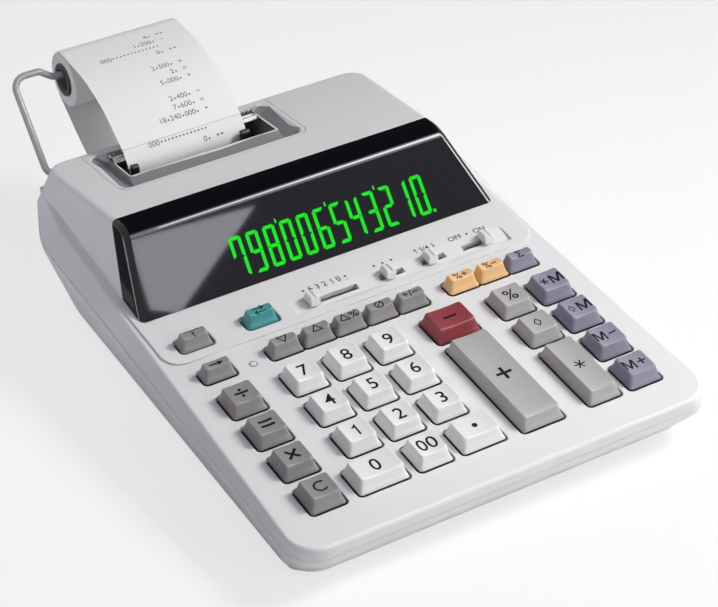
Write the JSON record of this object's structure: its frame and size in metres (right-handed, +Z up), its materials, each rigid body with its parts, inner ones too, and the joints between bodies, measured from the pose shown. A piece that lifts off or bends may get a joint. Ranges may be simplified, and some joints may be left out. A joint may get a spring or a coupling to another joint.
{
  "type": "printing calculator",
  "caption": "Desk printing calculator with a wedge case, wide display window, printer with paper roll and holder, sprung keys and slide switches.",
  "frame": {"origin": "bottom centre of the overall bounding box, on the desk top between the rubber feet", "axes": "+Z up, +X to the user's right, +Y to the back, so the front edge of the case faces -Y; the keyboard deck rises towards +Y"},
  "size_m": [0.1852, 0.2918, 0.0816],
  "materials": {
    "case_shell": "fine textured off-white",
    "key_white": "satin",
    "key_grey": "satin",
    "key_light_grey": "satin",
    "key_blue_grey": "satin",
    "key_red": "satin",
    "key_teal": "satin",
    "key_orange": "satin",
    "knob_white": "satin",
    "window_black": "polished",
    "clear_plastic": "clear",
    "wire_grey": "satin grey",
    "paper": "uncoated",
    "core_dark": "dark",
    "foot_rubber": "matt",
    "screw_steel": "zinc plated",
    "tube_glass": "clear",
    "board": "lacquered",
    "pad_rubber": "silicone",
    "printer_dark": "black",
    "platen_rubber": "ground",
    "wheel_plastic": "dark grey",
    "iron": "varnished laminations"
  },
  "bodies": {
    "case": {"upper_case": "case_shell", "lower_case": "case_shell", "printer_cover": "case_shell", "display_window": "window_black", "tear_bar": "clear_plastic", "printed_tape": "paper", "paper_strip": "paper", "rubber_feet": "foot_rubber", "case_screws": "screw_steel", "display_tube": "tube_glass", "main_board": "board", "key_pad": "pad_rubber", "printer_frame": "printer_dark", "printer_motor": "screw_steel", "transformer": "iron"},
    "key_zero": {"key_zero": "key_white"},
    "key_double_zero": {"key_double_zero": "key_white"},
    "key_point": {"key_point": "key_white"},
    "key_one": {"key_one": "key_white"},
    "key_two": {"key_two": "key_white"},
    "key_three": {"key_three": "key_white"},
    "key_four": {"key_four": "key_white"},
    "key_five": {"key_five": "key_white"},
    "key_six": {"key_six": "key_white"},
    "key_seven": {"key_seven": "key_white"},
    "key_eight": {"key_eight": "key_white"},
    "key_nine": {"key_nine": "key_white"},
    "key_clear": {"key_clear": "key_grey"},
    "key_multiply": {"key_multiply": "key_grey"},
    "key_equals": {"key_equals": "key_grey"},
    "key_divide": {"key_divide": "key_grey"},
    "key_memory_plus": {"key_memory_plus": "key_blue_grey"},
    "key_memory_minus": {"key_memory_minus": "key_blue_grey"},
    "key_memory_subtotal": {"key_memory_subtotal": "key_blue_grey"},
    "key_memory_total": {"key_memory_total": "key_blue_grey"},
    "key_subtotal": {"key_subtotal": "key_light_grey"},
    "key_percent": {"key_percent": "key_light_grey"},
    "key_total": {"key_total": "key_light_grey"},
    "key_plus": {"key_plus": "key_light_grey"},
    "key_minus": {"key_minus": "key_red"},
    "key_cost": {"key_cost": "key_grey"},
    "key_sell": {"key_sell": "key_grey"},
    "key_margin": {"key_margin": "key_grey"},
    "key_average": {"key_average": "key_grey"},
    "key_sign": {"key_sign": "key_grey"},
    "key_tax_plus": {"key_tax_plus": "key_orange"},
    "key_tax_minus": {"key_tax_minus": "key_orange"},
    "key_grand_total": {"key_grand_total": "key_blue_grey"},
    "key_shift": {"key_shift": "key_grey"},
    "key_paper_feed": {"key_paper_feed": "key_grey"},
    "key_exchange": {"key_exchange": "key_teal"},
    "knob_decimal": {"knob_decimal": "knob_white"},
    "knob_rate": {"knob_rate": "knob_white"},
    "knob_rounding": {"knob_rounding": "knob_white"},
    "knob_power": {"knob_power": "knob_white"},
    "holder": {"paper_holder": "wire_grey"},
    "roll": {"paper_roll": "paper", "roll_core": "core_dark"},
    "platen": {"platen_roller": "platen_rubber"},
    "wheel": {"print_wheel": "wheel_plastic"}
  },
  "joints": [
    {"name": "press_zero", "type": "slide", "parent": "case", "child": "key_zero", "axis": [0, 0.1045, -0.9945], "range_m": [0, 0.003], "stiffness_N_per_m": 200, "springref_m": -0.002},
    {"name": "press_double_zero", "type": "slide", "parent": "case", "child": "key_double_zero", "axis": [0, 0.1045, -0.9945], "range_m": [0, 0.003], "stiffness_N_per_m": 200, "springref_m": -0.002},
    {"name": "press_point", "type": "slide", "parent": "case", "child": "key_point", "axis": [0, 0.1045, -0.9945], "range_m": [0, 0.003], "stiffness_N_per_m": 200, "springref_m": -0.002},
    {"name": "press_one", "type": "slide", "parent": "case", "child": "key_one", "axis": [0, 0.1045, -0.9945], "range_m": [0, 0.003], "stiffness_N_per_m": 200, "springref_m": -0.002},
    {"name": "press_two", "type": "slide", "parent": "case", "child": "key_two", "axis": [0, 0.1045, -0.9945], "range_m": [0, 0.003], "stiffness_N_per_m": 200, "springref_m": -0.002},
    {"name": "press_three", "type": "slide", "parent": "case", "child": "key_three", "axis": [0, 0.1045, -0.9945], "range_m": [0, 0.003], "stiffness_N_per_m": 200, "springref_m": -0.002},
    {"name": "press_four", "type": "slide", "parent": "case", "child": "key_four", "axis": [0, 0.1045, -0.9945], "range_m": [0, 0.003], "stiffness_N_per_m": 200, "springref_m": -0.002},
    {"name": "press_five", "type": "slide", "parent": "case", "child": "key_five", "axis": [0, 0.1045, -0.9945], "range_m": [0, 0.003], "stiffness_N_per_m": 200, "springref_m": -0.002},
    {"name": "press_six", "type": "slide", "parent": "case", "child": "key_six", "axis": [0, 0.1045, -0.9945], "range_m": [0, 0.003], "stiffness_N_per_m": 200, "springref_m": -0.002},
    {"name": "press_seven", "type": "slide", "parent": "case", "child": "key_seven", "axis": [0, 0.1045, -0.9945], "range_m": [0, 0.003], "stiffness_N_per_m": 200, "springref_m": -0.002},
    {"name": "press_eight", "type": "slide", "parent": "case", "child": "key_eight", "axis": [0, 0.1045, -0.9945], "range_m": [0, 0.003], "stiffness_N_per_m": 200, "springref_m": -0.002},
    {"name": "press_nine", "type": "slide", "parent": "case", "child": "key_nine", "axis": [0, 0.1045, -0.9945], "range_m": [0, 0.003], "stiffness_N_per_m": 200, "springref_m": -0.002},
    {"name": "press_clear", "type": "slide", "parent": "case", "child": "key_clear", "axis": [0, 0.1045, -0.9945], "range_m": [0, 0.003], "stiffness_N_per_m": 200, "springref_m": -0.002},
    {"name": "press_multiply", "type": "slide", "parent": "case", "child": "key_multiply", "axis": [0, 0.1045, -0.9945], "range_m": [0, 0.003], "stiffness_N_per_m": 200, "springref_m": -0.002},
    {"name": "press_equals", "type": "slide", "parent": "case", "child": "key_equals", "axis": [0, 0.1045, -0.9945], "range_m": [0, 0.003], "stiffness_N_per_m": 200, "springref_m": -0.002},
    {"name": "press_divide", "type": "slide", "parent": "case", "child": "key_divide", "axis": [0, 0.1045, -0.9945], "range_m": [0, 0.003], "stiffness_N_per_m": 200, "springref_m": -0.002},
    {"name": "press_memory_plus", "type": "slide", "parent": "case", "child": "key_memory_plus", "axis": [0, 0.1045, -0.9945], "range_m": [0, 0.003], "stiffness_N_per_m": 200, "springref_m": -0.002},
    {"name": "press_memory_minus", "type": "slide", "parent": "case", "child": "key_memory_minus", "axis": [0, 0.1045, -0.9945], "range_m": [0, 0.003], "stiffness_N_per_m": 200, "springref_m": -0.002},
    {"name": "press_memory_subtotal", "type": "slide", "parent": "case", "child": "key_memory_subtotal", "axis": [0, 0.1045, -0.9945], "range_m": [0, 0.003], "stiffness_N_per_m": 200, "springref_m": -0.002},
    {"name": "press_memory_total", "type": "slide", "parent": "case", "child": "key_memory_total", "axis": [0, 0.1045, -0.9945], "range_m": [0, 0.003], "stiffness_N_per_m": 200, "springref_m": -0.002},
    {"name": "press_subtotal", "type": "slide", "parent": "case", "child": "key_subtotal", "axis": [0, 0.1045, -0.9945], "range_m": [0, 0.003], "stiffness_N_per_m": 200, "springref_m": -0.002},
    {"name": "press_percent", "type": "slide", "parent": "case", "child": "key_percent", "axis": [0, 0.1045, -0.9945], "range_m": [0, 0.003], "stiffness_N_per_m": 200, "springref_m": -0.002},
    {"name": "press_total", "type": "slide", "parent": "case", "child": "key_total", "axis": [0, 0.1045, -0.9945], "range_m": [0, 0.003], "stiffness_N_per_m": 200, "springref_m": -0.002},
    {"name": "press_plus", "type": "slide", "parent": "case", "child": "key_plus", "axis": [0, 0.1045, -0.9945], "range_m": [0, 0.003], "stiffness_N_per_m": 200, "springref_m": -0.002},
    {"name": "press_minus", "type": "slide", "parent": "case", "child": "key_minus", "axis": [0, 0.1045, -0.9945], "range_m": [0, 0.003], "stiffness_N_per_m": 200, "springref_m": -0.002},
    {"name": "press_cost", "type": "slide", "parent": "case", "child": "key_cost", "axis": [0, 0.1045, -0.9945], "range_m": [0, 0.003], "stiffness_N_per_m": 200, "springref_m": -0.002},
    {"name": "press_sell", "type": "slide", "parent": "case", "child": "key_sell", "axis": [0, 0.1045, -0.9945], "range_m": [0, 0.003], "stiffness_N_per_m": 200, "springref_m": -0.002},
    {"name": "press_margin", "type": "slide", "parent": "case", "child": "key_margin", "axis": [0, 0.1045, -0.9945], "range_m": [0, 0.003], "stiffness_N_per_m": 200, "springref_m": -0.002},
    {"name": "press_average", "type": "slide", "parent": "case", "child": "key_average", "axis": [0, 0.1045, -0.9945], "range_m": [0, 0.003], "stiffness_N_per_m": 200, "springref_m": -0.002},
    {"name": "press_sign", "type": "slide", "parent": "case", "child": "key_sign", "axis": [0, 0.1045, -0.9945], "range_m": [0, 0.003], "stiffness_N_per_m": 200, "springref_m": -0.002},
    {"name": "press_tax_plus", "type": "slide", "parent": "case", "child": "key_tax_plus", "axis": [0, 0.1045, -0.9945], "range_m": [0, 0.003], "stiffness_N_per_m": 200, "springref_m": -0.002},
    {"name": "press_tax_minus", "type": "slide", "parent": "case", "child": "key_tax_minus", "axis": [0, 0.1045, -0.9945], "range_m": [0, 0.003], "stiffness_N_per_m": 200, "springref_m": -0.002},
    {"name": "press_grand_total", "type": "slide", "parent": "case", "child": "key_grand_total", "axis": [0, 0.1045, -0.9945], "range_m": [0, 0.003], "stiffness_N_per_m": 200, "springref_m": -0.002},
    {"name": "press_shift", "type": "slide", "parent": "case", "child": "key_shift", "axis": [0, 0.1045, -0.9945], "range_m": [0, 0.003], "stiffness_N_per_m": 200, "springref_m": -0.002},
    {"name": "press_paper_feed", "type": "slide", "parent": "case", "child": "key_paper_feed", "axis": [0, 0.1045, -0.9945], "range_m": [0, 0.003], "stiffness_N_per_m": 200, "springref_m": -0.002},
    {"name": "press_exchange", "type": "slide", "parent": "case", "child": "key_exchange", "axis": [0, 0.1045, -0.9945], "range_m": [0, 0.003], "stiffness_N_per_m": 200, "springref_m": -0.002},
    {"name": "slide_decimal", "type": "slide", "parent": "case", "child": "knob_decimal", "axis": [1, 0, 0], "range_m": [0, 0.0195]},
    {"name": "slide_rate", "type": "slide", "parent": "case", "child": "knob_rate", "axis": [1, 0, 0], "range_m": [-0.0024, 0.0058]},
    {"name": "slide_rounding", "type": "slide", "parent": "case", "child": "knob_rounding", "axis": [1, 0, 0], "range_m": [-0.0024, 0.0058]},
    {"name": "slide_power", "type": "slide", "parent": "case", "child": "knob_power", "axis": [1, 0, 0], "range_m": [-0.0097, 0]},
    {"name": "holder_hinge", "type": "hinge", "parent": "case", "child": "holder", "pos_m": [0, 0.10395, 0.04332], "axis": [1, 0, 0], "range_deg": [-78, 0], "deforming": ["paper_strip"]},
    {"name": "roll_spin", "type": "hinge", "parent": "holder", "child": "roll", "pos_m": [-0.0185, 0.13392, 0.06909], "axis": [1, 0, 0], "continuous": true},
    {"name": "platen_turn", "type": "hinge", "parent": "case", "child": "platen", "pos_m": [0, 0.08199, 0.03699], "axis": [1, 0, 0], "continuous": true},
    {"name": "wheel_turn", "type": "hinge", "parent": "case", "child": "wheel", "pos_m": [0, 0.06678, 0.03539], "axis": [1, 0, 0], "continuous": true}
  ],
  "couplings": [
    {"joint": "wheel_turn", "follows": "platen_turn", "ratio": -1.5}
  ]
}
